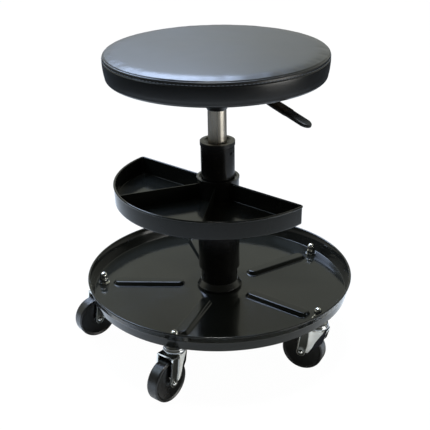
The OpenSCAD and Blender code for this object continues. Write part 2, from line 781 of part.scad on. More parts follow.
module lower_tray() {
    // The beads are pressed up from below, so they are hollow
    slope = (bead_r - bead_top_r) / bead_h;
    root = sheet_t / 2;
    color([0.05, 0.05, 0.05]) difference() {
        union() {
            up(tray_z) rotate_extrude() pan_wall(tray_r, tray_h, tray_lean, tray_fillet, tray_fillet);
            up(tray_z) cylinder(r = tray_floor_r - 1.5 * tray_fillet, h = sheet_t);
            at_casters() up(floor_z - root) bead(bead_r + slope * root, bead_top_r, bead_h + root);
        }
        at_casters() up(tray_z - over)
            bead(bead_r - root + slope * over, bead_top_r - root, bead_h + over);
        at_casters() translate([caster_circle_r, 0, tray_z - over])
            cylinder(r = stem_r + fix_gap, h = sheet_t + 2 * over);
        at_foot_screws() up(tray_z - over) cylinder(r = foot_screw_r + fix_gap, h = sheet_t + 2 * over);
    }
}

module at_casters() {
    for (i = [0:casters - 1]) rotate([0, 0, caster_az + 360 * i / casters]) children();
}

module at_stems() {
    at_casters() translate([caster_circle_r, 0, 0]) children();
}

// Puts its children at caster i, with X along the way its wheel trails
module at_caster(i) {
    turn = caster_az + 360 * (i - 1) / casters;
    translate([caster_circle_r * cos(turn), caster_circle_r * sin(turn), 0])
        rotate([0, 0, caster_headings[i - 1]]) children();
}

module caster_stems() {
    color([0.78, 0.78, 0.78]) at_stems() {
        up(rivet_z) cylinder(r = rivet_r, h = rivet_h);
        up(rivet_z + rivet_h / 2) cylinder(r = stem_r, h = stem_top_z - rivet_z - rivet_h / 2);
        up(tray_z - race_plate_t) cylinder(r = race_r, h = race_plate_t);
        up(race_skirt_z) ring(race_r, race_r - race_skirt_t, tray_z - race_skirt_z - race_plate_t / 2);
    }
}

module caster_swivel_balls() {
    color([0.85, 0.85, 0.85]) at_stems() for (i = [0:swivel_balls - 1])
        rotate([0, 0, 360 * i / swivel_balls]) translate([ball_circle_r, 0, ball_z]) sphere(r = ball_r);
}

module caster_washers() {
    color([0.85, 0.85, 0.85]) at_stems() up(floor_z) ring(nut_washer_r, stem_r + fix_gap, nut_washer_t);
}

module caster_nuts() {
    color([0.85, 0.85, 0.85]) at_stems() difference() {
        union() {
            intersection() {
                up(nut_z) cylinder(r = nut_hex_r, h = nut_hex_h, $fn = 6);
                up(nut_z - nut_hex_r)
                    cylinder(r1 = 2 * nut_hex_r, r2 = nut_dome_r, h = nut_hex_h + nut_hex_r);
            }
            up(nut_z + nut_hex_h / 2) cylinder(r = nut_dome_r, h = nut_hex_h / 2 + nut_neck_h);
            up(nut_z + nut_hex_h + nut_neck_h) sphere(r = nut_dome_r);
        }
        up(nut_z - over) cylinder(r = stem_r + fix_gap, h = nut_hex_h + nut_neck_h + over + soft_gap);
    }
}

// Outline of a fork leg, with X along the trail and Y up from the floor
module fork_leg() {
    front = trail + 0.93 * fork_tip_r;
    polygon([[-fork_back, fork_z], [-fork_back + fork_lead, fork_z - 0.14 * fork_rise],
        [-0.7 * fork_back, fork_z - 0.49 * fork_rise], [-0.2 * fork_back, fork_z - 0.74 * fork_rise],
        [trail - 1.3 * fork_tip_r, axle_z - 0.1 * fork_tip_r], [trail, axle_z], [front, axle_z + fork_lead],
        [trail + fork_lead, fork_z]]);
    translate([trail, axle_z]) circle(r = fork_tip_r);
}

module fork_plate() {
    translate([-fork_back, -fork_w / 2, fork_z - fork_t])
        cube([fork_back + trail + fork_lead, fork_w, fork_t]);
}

module caster_fork(i) {
    color([0.80, 0.80, 0.80]) at_caster(i) difference() {
        union() {
            for (side = [-1, 1]) translate([0, side * (fork_w - fork_t) / 2 + fork_t / 2, 0])
                rotate([90, 0, 0]) linear_extrude(fork_t) fork_leg();
            fork_plate();
            up(fork_z - fork_t / 2) cylinder(r = race_wall_r, h = race_wall_h + fork_t / 2);
        }
        up(fork_z - fork_t - over) cylinder(r = kingpin_hole_r, h = race_h + fork_t + over);
        up(ball_z) rotate_extrude() translate([ball_circle_r, 0]) circle(r = ball_seat_r, $fn = 32);
        up(fork_z + race_floor_t) cylinder(r = ball_circle_r, h = race_h);
        translate([trail, 0, axle_z]) rotate([90, 0, 0])
            cylinder(r = axle_r + fix_gap, h = fork_w + 2 * over, center = true);
    }
}

module caster_axle(i) {
    color([0.75, 0.75, 0.75]) at_caster(i) translate([trail, 0, axle_z]) rotate([90, 0, 0]) {
        cylinder(r = axle_r, h = fork_w + axle_nut_h, center = true);
        translate([0, 0, fork_w / 2]) cylinder(r = axle_head_r, h = axle_head_h, $fn = 6);
        translate([0, 0, -fork_w / 2 - axle_nut_h]) cylinder(r = axle_head_r, h = axle_nut_h, $fn = 6);
    }
}

module axle_bush(i) {
    color([0.6, 0.6, 0.6]) at_caster(i) translate([trail, fork_in_w / 2 - fix_gap, axle_z])
        rotate([90, 0, 0]) ring(axle_bush_r, axle_r + fix_gap, fork_in_w - 2 * fix_gap);
}

module caster_wheel(i) {
    half = wheel_w / 2;
    shoulder = wheel_r - wheel_edge_r;
    face = half - wheel_dish;
    color([0.05, 0.05, 0.06]) at_caster(i) translate([trail, 0, axle_z]) rotate([90, 0, 0]) rotate_extrude()
        polygon(concat([[wheel_bore_r, -wheel_hub_w / 2], [wheel_hub_r, -wheel_hub_w / 2],
            [wheel_hub_r + wheel_dish, -face], [shoulder - wheel_edge_r, -face]],
            arc([shoulder, -half + wheel_edge_r], wheel_edge_r, -90, 0, 6),
            arc([shoulder, half - wheel_edge_r], wheel_edge_r, 0, 90, 6),
            [[shoulder - wheel_edge_r, face], [wheel_hub_r + wheel_dish, face],
            [wheel_hub_r, wheel_hub_w / 2], [wheel_bore_r, wheel_hub_w / 2]]));
}

seat_cushion();
seat_board();
seat_tee_nuts();
cover_staples();
seat_bolts();
mount_plate();
mechanism_housing();
cylinder_socket();
lever_pin();
height_lever();
lever_grip();
release_button();
gas_cylinder();
valve_block();
rod_guide();
rod_seal();
piston_rod();
rod_piston();
upper_race();
rod_bumper();
rod_clip();
column_tube();
column_end_disc();
guide_bush();
lower_race();
thrust_balls();
post_tube();
post_foot_ring();
foot_screws();
sleeve_washer();
mid_tray_pan();
mid_tray_divider_1();
mid_tray_divider_2();
mid_tray_sleeve();
lower_tray();
caster_stems();
caster_swivel_balls();
caster_nuts();
caster_washers();
for (i = [1:casters]) {
    caster_fork(i);
    caster_axle(i);
    axle_bush(i);
    caster_wheel(i);
}
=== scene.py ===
import math

import bmesh
import bpy
from mathutils import Matrix, Vector, noise


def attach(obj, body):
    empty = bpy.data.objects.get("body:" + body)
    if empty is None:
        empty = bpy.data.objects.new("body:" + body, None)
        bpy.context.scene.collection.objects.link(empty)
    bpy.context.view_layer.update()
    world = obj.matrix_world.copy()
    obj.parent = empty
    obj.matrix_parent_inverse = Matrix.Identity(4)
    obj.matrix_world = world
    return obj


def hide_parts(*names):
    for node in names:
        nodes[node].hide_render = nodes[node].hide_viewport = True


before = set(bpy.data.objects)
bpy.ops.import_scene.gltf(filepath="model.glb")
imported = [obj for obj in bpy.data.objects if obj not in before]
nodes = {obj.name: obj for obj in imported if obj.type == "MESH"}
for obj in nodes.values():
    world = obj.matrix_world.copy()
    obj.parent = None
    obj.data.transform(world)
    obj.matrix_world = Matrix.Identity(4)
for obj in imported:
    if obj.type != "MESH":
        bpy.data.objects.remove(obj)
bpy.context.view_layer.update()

scene = bpy.context.scene
mm = 0.001


def srgb(text, share=1):  # an sRGB hex colour as a linear one, or as a share of it
    parts = [int(text[i:i + 2], 16) / 255 for i in (1, 3, 5)]
    linear = [p / 12.92 if p <= 0.04045 else ((p + 0.055) / 1.055) ** 2.4 for p in parts]
    return [p * share for p in linear] + [1]


def unit(value):
    return min(1, max(0, value))


def eased(value):  # from 0 to 1 with a soft start and end
    t = unit(value)
    return t * t * (3 - 2 * t)


def addNode(tree, kind, inputs=None, **settings):  # an input is a value, or a socket to link from
    node = tree.nodes.new(kind)
    for name, value in settings.items():
        setattr(node, name, value)
    for key, value in (inputs or {}).items():
        if isinstance(value, bpy.types.NodeSocket):
            tree.links.new(value, node.inputs[key])
        else:
            node.inputs[key].default_value = value
    return node


def newMaterial(name, **shaderInputs):
    material = bpy.data.materials.new(name)
    material.use_nodes = True
    tree = material.node_tree
    tree.nodes.clear()
    inputs = {key.replace("_", " "): value for key, value in shaderInputs.items()}
    shader = addNode(tree, "ShaderNodeBsdfPrincipled", inputs)
    addNode(tree, "ShaderNodeOutputMaterial", {"Surface": shader.outputs[0]})
    place = addNode(tree, "ShaderNodeTexCoord").outputs["Object"]
    return material, tree, shader, place


def setSurface(tree, shader, tone, gloss, relief):  # the nodes that give colour, roughness and bump
    tree.links.new(tone.outputs["Result"], shader.inputs["Base Color"])
    tree.links.new(gloss.outputs[0], shader.inputs["Roughness"])
    tree.links.new(relief.outputs[0], shader.inputs["Normal"])


def newObject(name, mesh, smooth=True):
    if smooth:
        mesh.shade_smooth()
    piece = bpy.data.objects.new(name, mesh)
    scene.collection.objects.link(piece)
    return piece


def objectFrom(shape, name, finishNames=(), smooth=True):
    mesh = bpy.data.meshes.new(name)
    shape.to_mesh(mesh)
    shape.free()
    for finishName in finishNames:
        mesh.materials.append(finish[finishName])
    return newObject(name, mesh, smooth)


def turnsOf(count):
    return [2 * math.pi * k / count for k in range(count)]


def addRing(shape, turns, radius, z):  # points round the Z axis; the radius may depend on the turn
    radii = [radius(t) if callable(radius) else radius for t in turns]
    return [shape.verts.new((r * math.cos(t) * mm, r * math.sin(t) * mm, z * mm))
            for r, t in zip(radii, turns)]


def bridge(shape, rings):  # faces from each ring of points to the next
    for first, second in zip(rings, rings[1:]):
        for i in range(len(first)):
            k = (i + 1) % len(first)
            shape.faces.new([first[i], second[i], second[k], first[k]])


def lathe(shape, profile, around):  # a closed turned part: the profile starts and ends on the axis
    rings = [addRing(shape, turnsOf(around), r, z) for r, z in profile[1:-1]]
    bridge(shape, rings)
    for (r, z), ring in ((profile[0], rings[0]), (profile[-1], rings[-1])):
        pole = shape.verts.new((0, 0, z * mm))
        for k in range(around):
            shape.faces.new([pole, ring[k], ring[(k + 1) % around]])
    bmesh.ops.recalc_face_normals(shape, faces=shape.faces)


def nodesNamed(start):  # the CAD node of this name, or its numbered set
    return [node for name, node in nodes.items() if name == start or name.startswith(start + "_")]


# The photograph's camera, fitted to the rims, the column and the wheels' contact points
photoView = {"place": (-0.0055, -1.3199, 0.7938), "elevation": 24.07, "roll": -0.98, "lens": 78.7,
             "sensor": 36, "farClip": 100}
# A band gives the two heights of a direction, or depths in frontBand, between which the room's tone changes
studio = {
    # Past the object the floor's colour fades to a dim grey: a painted pool of light, seen only by rays other
    # than the camera's
    "floorRadius": 40, "floorSides": 96, "floorColor": "#e4e4e2", "floorPastPaintedPool": "#303030",
    "paintedPoolRadius": (0.45, 0.88), "floorGlow": 0.985, "floorShade": 0.02,
    "horizon": "#d8d8d0", "wall": "#cfd1c2", "wallBand": (0.02, 0.34),
    "zenith": "#7c8086", "zenithBand": (0.6, 1),
    "front": 0.13, "frontLow": 0.55, "frontLowBand": (0.1, 0.3), "frontBand": (-0.3, 0.2),
    "overhead": {"from": (-0.03, 0.03, 1), "strength": 1.8, "angle": 9.0, "color": (1, 0.99, 0.97)},
    "softboxes": {
        "rearSoftbox": {"place": (-0.75, 1.5, 2.15), "size": (2.0, 1.1), "watts": 92,
                        "color": (0.58, 0.72, 1)},
        "topSoftbox": {"place": (0.1, 0.25, 2.3), "size": (1.0, 0.6), "watts": 28,
                       "color": (0.64, 0.8, 1)},
        "leftSoftbox": {"place": (-1.55, 0, 1.75), "size": (1.0, 0.8), "watts": 10,
                        "color": (0.66, 0.83, 1)},
        "sideSoftbox": {"place": (1.3, -0.75, 0.3), "size": (0.8, 0.5), "watts": 7,
                        "color": (1, 0.99, 0.95)},
    },
    "aim": (0, 0, 0.4),
}


def makeCamera():
    tilt, roll = math.radians(photoView["elevation"]), math.radians(photoView["roll"])
    forward = Vector((0, math.cos(tilt), -math.sin(tilt)))
    level = Vector((0, math.sin(tilt), math.cos(tilt)))
    right = Vector((1, 0, 0)) * math.cos(roll) + level * math.sin(roll)
    up = level * math.cos(roll) - Vector((1, 0, 0)) * math.sin(roll)
    lens = bpy.data.cameras.new("photoCamera")
    lens.lens, lens.sensor_width = photoView["lens"], photoView["sensor"]
    lens.clip_end = photoView["farClip"]
    camera = bpy.data.objects.new("photoCamera", lens)
    turned = Matrix((right, up, -forward)).transposed().to_4x4()
    camera.matrix_world = Matrix.Translation(photoView["place"]) @ turned
    scene.collection.objects.link(camera)
    scene.camera = camera


def makeFloor():
    # White paper to the eye, with a soft shadow; metal sees it as lit paper with a painted pool of light, its
    # colour fading to dim grey away from the object
    material = bpy.data.materials.new("seamlessPaper")
    material.use_nodes = True
    tree = material.node_tree
    tree.nodes.clear()
    rays = addNode(tree, "ShaderNodeLightPath").outputs
    spot = addNode(tree, "ShaderNodeTexCoord").outputs["Object"]
    away = addNode(tree, "ShaderNodeVectorMath", {0: spot}, operation="LENGTH").outputs["Value"]
    near, far = studio["paintedPoolRadius"]
    paintedPool = addNode(tree, "ShaderNodeMapRange",
                   {"Value": away, "From Min": near, "From Max": far, "To Min": 1, "To Max": 0},
                   interpolation_type="SMOOTHSTEP").outputs[0]
    tone = addNode(tree, "ShaderNodeMix",
                   {"Factor": paintedPool, "A": srgb(studio["floorPastPaintedPool"]), "B": srgb(studio["floorColor"])},
                   data_type="RGBA").outputs["Result"]
    paper = addNode(tree, "ShaderNodeBsdfDiffuse", {"Color": tone})
    faint = addNode(tree, "ShaderNodeBsdfDiffuse", {"Color": [studio["floorShade"]] * 3 + [1]})
    glow = addNode(tree, "ShaderNodeEmission", {"Color": (1, 1, 1, 1), "Strength": studio["floorGlow"]})
    white = addNode(tree, "ShaderNodeAddShader", {0: faint.outputs[0], 1: glow.outputs[0]})
    mixed = addNode(tree, "ShaderNodeMixShader",
                    {0: rays["Is Camera Ray"], 1: paper.outputs[0], 2: white.outputs[0]})
    addNode(tree, "ShaderNodeOutputMaterial", {"Surface": mixed.outputs[0]})
    sheet = bmesh.new()
    bmesh.ops.create_circle(sheet, cap_ends=True, radius=studio["floorRadius"],
                            segments=studio["floorSides"])
    floor = objectFrom(sheet, "floor", smooth=False)
    floor.data.materials.append(material)


def makeRoom():
    world = bpy.data.worlds.new("studioRoom")
    scene.world = world
    world.use_nodes = True
    tree = world.node_tree
    tree.nodes.clear()
    way = addNode(tree, "ShaderNodeTexCoord").outputs["Generated"]
    parts = addNode(tree, "ShaderNodeSeparateXYZ", {0: way}).outputs
    low, high = studio["wallBand"]
    lower = addNode(tree, "ShaderNodeMapRange",
                    {"Value": parts["Z"], "From Min": low, "From Max": high},
                    interpolation_type="SMOOTHSTEP").outputs[0]
    low, high = studio["zenithBand"]
    upper = addNode(tree, "ShaderNodeMapRange",
                    {"Value": parts["Z"], "From Min": low, "From Max": high}).outputs[0]
    wall = addNode(tree, "ShaderNodeMix",
                   {"Factor": lower, "A": srgb(studio["horizon"]), "B": srgb(studio["wall"])},
                   data_type="RGBA").outputs["Result"]
    room = addNode(tree, "ShaderNodeMix", {"Factor": upper, "A": wall, "B": srgb(studio["zenith"])},
                   data_type="RGBA").outputs["Result"]
    # The room behind the camera is dark, but for the lit foot of the paper sweep
    low, high = studio["frontLowBand"]
    foot = addNode(tree, "ShaderNodeMapRange",
                   {"Value": parts["Z"], "From Min": low, "From Max": high,
                    "To Min": studio["frontLow"], "To Max": studio["front"]},
                   interpolation_type="SMOOTHSTEP").outputs[0]
    low, high = studio["frontBand"]
    side = addNode(tree, "ShaderNodeMapRange",
                   {"Value": parts["Y"], "From Min": low, "From Max": high, "To Min": foot, "To Max": 1},
                   interpolation_type="SMOOTHSTEP").outputs[0]
    back = addNode(tree, "ShaderNodeBackground", {"Color": room, "Strength": side})
    plain = addNode(tree, "ShaderNodeBackground", {"Color": (1, 1, 1, 1), "Strength": 1})
    eye = addNode(tree, "ShaderNodeLightPath").outputs["Is Camera Ray"]
    mixed = addNode(tree, "ShaderNodeMixShader", {0: eye, 1: back.outputs[0], 2: plain.outputs[0]})
    addNode(tree, "ShaderNodeOutputWorld", {"Surface": mixed.outputs[0]})


def makeLights():
    lamp = studio["overhead"]
    data = bpy.data.lights.new("overheadLamp", "SUN")
    data.energy, data.angle, data.color = lamp["strength"], math.radians(lamp["angle"]), lamp["color"]
    sun = bpy.data.objects.new("overheadLamp", data)
    sun.rotation_euler = Vector(lamp["from"]).to_track_quat("Z", "Y").to_euler()
    scene.collection.objects.link(sun)
    for name, box in studio["softboxes"].items():
        data = bpy.data.lights.new(name, "AREA")
        data.shape, data.energy, data.color = "RECTANGLE", box["watts"], box["color"]
        data.size, data.size_y = box["size"]
        light = bpy.data.objects.new(name, data)
        light.location = box["place"]
        backward = Vector(box["place"]) - Vector(studio["aim"])
        light.rotation_euler = backward.to_track_quat("Z", "Y").to_euler()
        scene.collection.objects.link(light)
    scene.view_settings.view_transform = "Standard"


makeCamera()
makeFloor()
makeRoom()
makeLights()
print("camera, floor and lights are in place")


def enamel(name, color, dusty, roughness, peel, ior):
    # Stoved enamel over steel: a smooth wet black, with a faint orange peel and clouds of dust in the gloss
    material, tree, shader, place = newMaterial(name, Roughness=roughness, IOR=ior)
    dust = addNode(tree, "ShaderNodeTexNoise", {"Vector": place, "Scale": 90, "Detail": 6, "Roughness": 0.7})
    gloss = addNode(tree, "ShaderNodeMapRange",
                    {"Value": dust.outputs[0], "From Min": 0.35, "From Max": 0.75,
                     "To Min": roughness * 0.9, "To Max": roughness * 1.35})
    cloud = addNode(tree, "ShaderNodeTexNoise", {"Vector": place, "Scale": 14, "Detail": 3})
    tone = addNode(tree, "ShaderNodeMix",
                   {"Factor": cloud.outputs[0], "A": srgb(color), "B": srgb(dusty)}, data_type="RGBA")
    bumps = addNode(tree, "ShaderNodeTexNoise", {"Vector": place, "Scale": 420, "Detail": 1})  # 2.4 mm
    relief = addNode(tree, "ShaderNodeBump",
                     {"Height": bumps.outputs[0], "Strength": peel, "Distance": 0.0002})
    setSurface(tree, shader, tone, gloss, relief)
    return material


def plating(name, color, roughness, grainScale, grain, metal=1.0):
    # Plated steel: a mirror broken by the marks of polishing or drawing, which run where grainScale is small;
    # they are some millimetres apart, coarser than real ones, so that they show
    material, tree, shader, place = newMaterial(name, Metallic=metal)
    along = addNode(tree, "ShaderNodeMapping", {"Vector": place, "Scale": grainScale})
    lines = addNode(tree, "ShaderNodeTexNoise",
                    {"Vector": along.outputs[0], "Scale": 1, "Detail": 4, "Roughness": 0.6})
    stain = addNode(tree, "ShaderNodeTexNoise", {"Vector": place, "Scale": 60, "Detail": 3})
    tone = addNode(tree, "ShaderNodeMix",
                   {"Factor": stain.outputs[0], "A": srgb(color), "B": srgb(color, 0.82)}, data_type="RGBA")
    gloss = addNode(tree, "ShaderNodeMapRange",
                    {"Value": lines.outputs[0], "From Min": 0.3, "From Max": 0.7,
                     "To Min": roughness * 0.8, "To Max": roughness * 1.25})
    relief = addNode(tree, "ShaderNodeBump",
                     {"Height": lines.outputs[0], "Strength": grain, "Distance": 0.0001})
    setSurface(tree, shader, tone, gloss, relief)
    return material


def moulding(name, color, roughness, grainSize, grain, ior=1.5):
    # Moulded plastic or rubber: an even colour with the eroded texture of its mould, drawn about five times
    # coarser than it is, so that it shows
    material, tree, shader, place = newMaterial(name, Roughness=roughness, IOR=ior)
    marks = addNode(tree, "ShaderNodeTexVoronoi", {"Vector": place, "Scale": 1 / grainSize})
    cloud = addNode(tree, "ShaderNodeTexNoise", {"Vector": place, "Scale": 25, "Detail": 4})
    tone = addNode(tree, "ShaderNodeMix",
                   {"Factor": cloud.outputs[0], "A": srgb(color), "B": srgb(color, 1.5)}, data_type="RGBA")
    gloss = addNode(tree, "ShaderNodeMapRange",
                    {"Value": cloud.outputs[0], "From Min": 0.3, "From Max": 0.7,
                     "To Min": roughness * 0.88, "To Max": roughness * 1.12})
    relief = addNode(tree, "ShaderNodeBump",
                     {"Height": marks.outputs["Distance"], "Strength": grain, "Distance": grainSize * 0.3})
    setSurface(tree, shader, tone, gloss, relief)
    return material


def coatedVinyl():
    # Black PU-coated vinyl: a pebbled grain, a little coarser than it is, spreads the light into a soft sheen
    material, tree, shader, place = newMaterial(
        "coatedVinyl", IOR=1.5, Roughness=0.36, Sheen_Weight=0.03, Sheen_Roughness=0.45,
        Sheen_Tint=(0.78, 0.88, 1, 1))
    pebble = addNode(tree, "ShaderNodeTexVoronoi", {"Vector": place, "Scale": 900},
                     feature="SMOOTH_F1")  # pebbles of 1.1 mm
    fine = addNode(tree, "ShaderNodeTexNoise", {"Vector": place, "Scale": 1600, "Detail": 2})
    broad = addNode(tree, "ShaderNodeTexNoise", {"Vector": place, "Scale": 9, "Detail": 3})
    tone = addNode(tree, "ShaderNodeMix",
                   {"Factor": broad.outputs[0], "A": srgb("#08090a"), "B": srgb("#0d0e10")},
                   data_type="RGBA")
    gloss = addNode(tree, "ShaderNodeMapRange",
                    {"Value": broad.outputs[0], "From Min": 0.3, "From Max": 0.7,
                     "To Min": 0.31, "To Max": 0.36})
    height = addNode(tree, "ShaderNodeMath", {0: pebble.outputs["Distance"], 1: fine.outputs[0]},
                     operation="MULTIPLY")
    relief = addNode(tree, "ShaderNodeBump",
                     {"Height": height.outputs[0], "Strength": 0.22, "Distance": 0.0002})
    setSurface(tree, shader, tone, gloss, relief)
    return material


def birchPly():
    # Birch plywood: pale plies on the edge, long soft grain on the faces
    material, tree, shader, place = newMaterial("birchPlywood", Roughness=0.62)
    along = addNode(tree, "ShaderNodeMapping", {"Vector": place, "Scale": (14, 180, 700)})  # plies of 1.4 mm
    grain = addNode(tree, "ShaderNodeTexNoise", {"Vector": along.outputs[0], "Scale": 1, "Detail": 5})
    tone = addNode(tree, "ShaderNodeMix",
                   {"Factor": grain.outputs[0], "A": srgb("#8a6f49"), "B": srgb("#5f4a2e")},
                   data_type="RGBA")
    tree.links.new(tone.outputs["Result"], shader.inputs["Base Color"])
    return material


finish = {material.name: material for material in (
    enamel("trayEnamel", "#121311", "#1b1c1a", 0.11, 0.10, 1.33),  # wet gloss that mirrors the seat
    enamel("tubeEnamel", "#090908", "#0f0f0e", 0.2, 0.15, 1.5),  # gloss black, softer highlights
    enamel("barEnamel", "#050505", "#090909", 0.3, 0.2, 1.38),  # thin satin black
    enamel("plateEnamel", "#0b0b0b", "#141414", 0.38, 0.2, 1.45),  # satin black, out of sight
    plating("forkChrome", "#cfd0cd", 0.13, (300, 300, 60), 0.1),  # bright ribs of the pressed forks
    plating("gussetPaintedHighlight", "#fffffb", 0.34, (300, 300, 60), 0.1, 0.05),  # painted highlight: the gusset drawn near white for the bright light it mirrors
    plating("recessPaintedShade", "#6e6f6c", 0.2, (300, 300, 60), 0.1),  # painted shade: darker chrome in the arm's recess, where its ribs shade it
    plating("flangePaintedShade", "#26262a", 0.3, (300, 300, 60), 0.1),  # painted shade: the rear flange faces away and is drawn dark
    plating("nutChrome", "#cfcfcc", 0.12, (200, 200, 200), 0.05),  # near mirror, with small points of light
    plating("cupZinc", "#a2a4a6", 0.2, (300, 300, 300), 0.1),  # cool grey of bright zinc
    plating("zincPlate", "#b9bab8", 0.3, (400, 400, 400), 0.15),  # paler and duller zinc of fasteners
    plating("rodChrome", "#f0e8da", 0.3, (900, 900, 6), 0.12),  # drawn lines up a warm bright tube
    plating("machinedSteel", "#9a9a98", 0.3, (60, 60, 900), 0.2),  # turning marks round the part
    moulding("wheelPolypropylene", "#040405", 0.3, 0.0012, 0.1),  # smooth black with a broad highlight
    moulding("leverNylon", "#050505", 0.4, 0.0012, 0.12, 1.4),  # dull black
    moulding("bushAcetal", "#0a0a0b", 0.3, 0.0010, 0.08),  # waxy black
    moulding("seamThread", "#4c5158", 0.6, 0.0004, 0.4),  # grey thread, catches the light on its twist
    moulding("washerNylon", "#d8d6cc", 0.4, 0.0010, 0.05),  # milky white
    moulding("blackRubber", "#0d0d0d", 0.6, 0.0014, 0.2),  # matt black
    coatedVinyl(), birchPly(),
)}
finishOf = {
    "trayEnamel": ["lower_tray", "mid_tray_pan", "mid_tray_divider"],
    "tubeEnamel": ["column_tube", "post_tube", "post_foot_ring", "mid_tray_sleeve"],
    "barEnamel": ["height_lever"],
    "plateEnamel": ["mount_plate", "mechanism_housing", "cylinder_socket"],
    "forkChrome": ["caster_fork", "caster_stems"],
    "nutChrome": ["caster_nuts", "caster_washers"],
    "zincPlate": ["caster_axle", "seat_bolts", "seat_tee_nuts", "cover_staples", "foot_screws", "lever_pin"],
    "rodChrome": ["gas_cylinder", "piston_rod"],
    "machinedSteel": ["axle_bush", "release_button", "valve_block", "rod_guide", "rod_piston", "upper_race",
                      "lower_race", "thrust_balls", "rod_clip", "column_end_disc", "caster_swivel_balls"],
    "wheelPolypropylene": ["caster_wheel"],
    "leverNylon": ["lever_grip"],
    "bushAcetal": ["guide_bush"],
    "washerNylon": ["sleeve_washer"],
    "blackRubber": ["rod_seal", "rod_bumper"],
    "coatedVinyl": ["seat_cushion"],
    "birchPlywood": ["seat_board"],
}
for finishName, starts in finishOf.items():
    for start in starts:
        for node in nodesNamed(start):
            for slot in node.material_slots:
                slot.material = finish[finishName]
print("finishes are on the CAD nodes")


# The seat's pad: points are (radius, height) in millimetres, and angles are in degrees
cushion = {
    "cells": 40, "discRadius": 120,
    "crownFlat": 60, "topHeight": 465.8, "crownFall": 0.9, "rollFrom": 141, "rollFall": 2.35,
    "topRings": [126, 132, 138, 143.5, 148, 151.5, 154.5, 157, 158.7],
    "shoulder": {"centre": (159.7, 460.5), "radius": 2.1, "angles": (72, 58, 44, 30, 16, 6)},
    # Seam, band and stitched seam, side, then the edge, hem and the pocket that holds the board
    "band": [(161.15, 460.5), (161.75, 460.35), (162.35, 460.05), (162.75, 459.5), (163.0, 458.5),
             (163.15, 457.4), (163.25, 456.2), (163.05, 455.6), (162.3, 455.2)],
    "side": [(163.0, 454.8), (163.4, 454.1), (163.5, 452.9), (163.45, 450), (163.2, 446.5), (162.85, 443),
             (162.4, 439.5), (161.9, 436), (161.3, 433), (160.75, 430.8)],
    "edge": {"centre": (155.7, 430.2), "radius": 5.0, "angles": (-8, -24, -40, -56, -72, -88)},
    "hemRings": 3,
    "pocket": [(152.5, 424.75), (149, 424.35), (145, 424.15), (140, 424.1), (136.3, 424.1), (135.6, 424.4),
               (135.5, 424.9), (136.2, 425.45), (141, 425.5), (147, 425.5), (151.3, 425.5), (151.8, 426),
               (151.8, 430), (151.8, 434), (151.8, 437.5), (151.3, 438.1), (145, 438.1), (135, 438.1),
               (127, 438.1)],
    "boardSize": (152, 438.2),
    # The swell: how far, which part of the top starts lower, the cloth's settings, and the share kept
    "swell": 1.4, "swellAbove": 457, "swellInside": 158, "swellEase": 12, "frames": 20, "settle": 0.45,
    "cloth": {"quality": 6, "mass": 0.3, "tension_stiffness": 40, "compression_stiffness": 40,
              "shear_stiffness": 15, "bending_stiffness": 4, "use_pressure": True,
              "uniform_pressure_force": 4.0},
}
creases = {
    "depth": 0.45, "fromRadius": 140, "fromHeight": 426,
    "shoulder": {"above": 461, "radius": 157, "spread": 6},
    "side": {"below": 454, "height": 446, "spread": 9, "share": 0.6},
    "even": 0.4, "mostAt": -0.5,
    "waves": [(1, 9, 0.05), (0.5, 22, 0.08)],  # share, waves round the seat, and their change with height
}


def crownHeight(r):
    edge = cushion["shoulder"]["centre"][0]
    share = max(0, (r - cushion["crownFlat"]) / (edge - cushion["crownFlat"]))
    roll = max(0, (r - cushion["rollFrom"]) / (edge - cushion["rollFrom"]))
    return cushion["topHeight"] - cushion["crownFall"] * share ** 2 - cushion["rollFall"] * roll ** 2


def arcPoints(spec):
    (r, z), radius = spec["centre"], spec["radius"]
    angles = [math.radians(a) for a in spec["angles"]]
    return [(r + radius * math.cos(a), z + radius * math.sin(a)) for a in angles]


def discGrid(shape, height, cells, radius):  # a square grid pressed into a disc; gives its rim in order
    grid = {}
    for i in range(cells + 1):
        for j in range(cells + 1):
            u, v = 2 * i / cells - 1, 2 * j / cells - 1
            reach = max(abs(u), abs(v))
            if reach == 0:
                turn = 0
            elif abs(u) >= abs(v):
                turn = math.pi / 4 * v / u + (math.pi if u < 0 else 0)
            else:
                turn = math.pi / 2 - math.pi / 4 * u / v + (math.pi if v < 0 else 0)
            r = reach * radius
            grid[i, j] = shape.verts.new((r * math.cos(turn) * mm, r * math.sin(turn) * mm, height(r) * mm))
    for i in range(cells):
        for j in range(cells):
            shape.faces.new([grid[i, j], grid[i + 1, j], grid[i + 1, j + 1], grid[i, j + 1]])
    rim = [v for v in grid.values() if v.co.xy.length > (radius - 0.01) * mm]
    return sorted(rim, key=lambda v: math.atan2(v.co.y, v.co.x))


